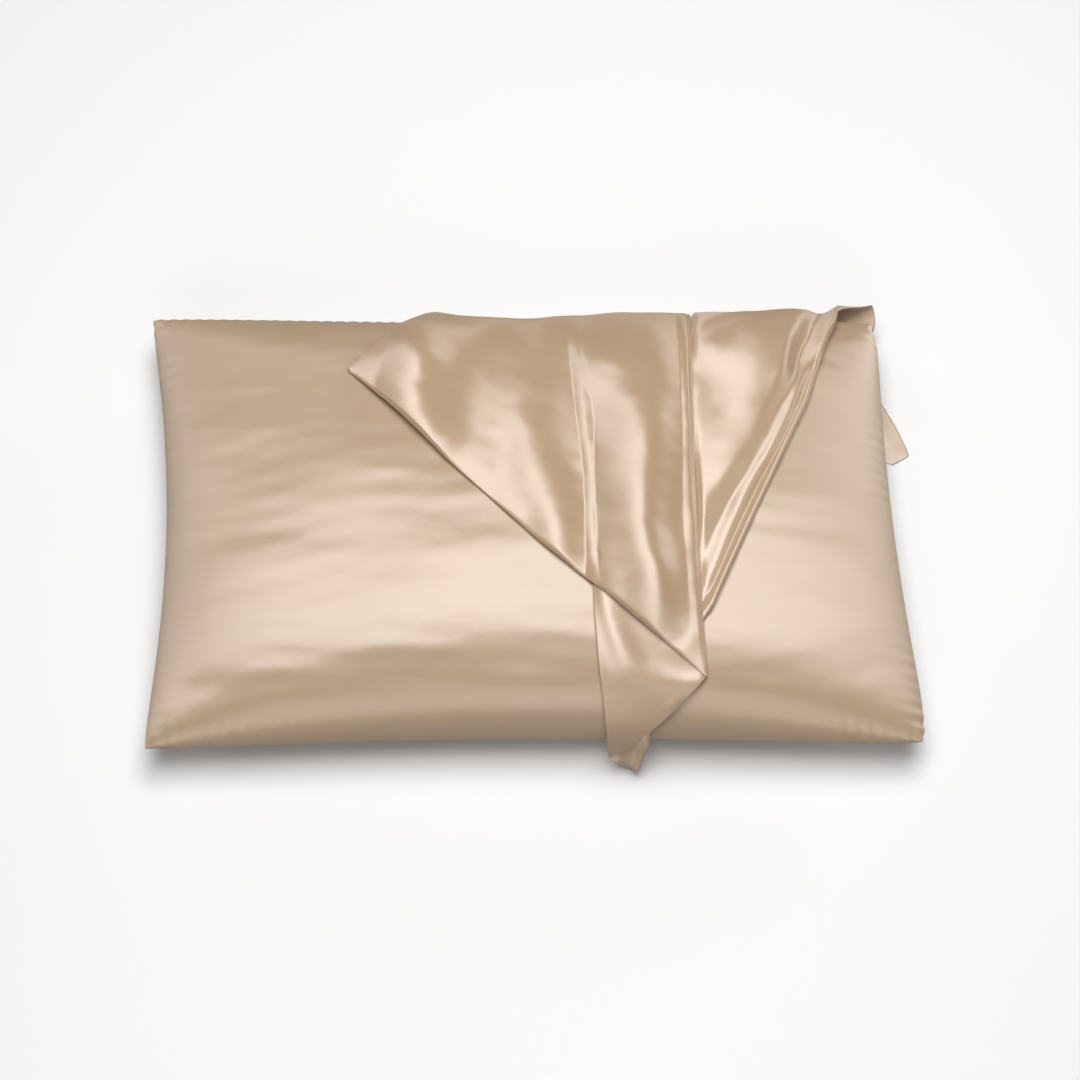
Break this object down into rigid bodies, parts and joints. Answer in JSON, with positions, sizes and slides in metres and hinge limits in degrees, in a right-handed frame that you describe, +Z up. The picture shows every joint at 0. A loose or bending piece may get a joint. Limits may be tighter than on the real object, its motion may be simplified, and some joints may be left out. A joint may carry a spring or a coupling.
{
  "type": "pillowcase draped over a pillow",
  "caption": "Loose satin pillowcase thrown diagonally over the long edge of a filled pillow, pleated down its face, with a rolled hem and a tail.",
  "frame": {"origin": "middle of the pillow's flat underside, on the surface that it lies on", "axes": "+X along the pillow's long side, +Y across it towards the edge that the loose case falls over, +Z up"},
  "size_m": [0.7822, 0.4915, 0.1556],
  "materials": {
    "loose_satin": "champagne satin with long soft highlights, a little pinker than the pillow",
    "pillow_satin": "champagne satin, tight over the filling, faint ripples"
  },
  "bodies": {
    "root": {"draped_case": "loose_satin", "pillow_in_case": "pillow_satin"}
  },
  "joints": []
}
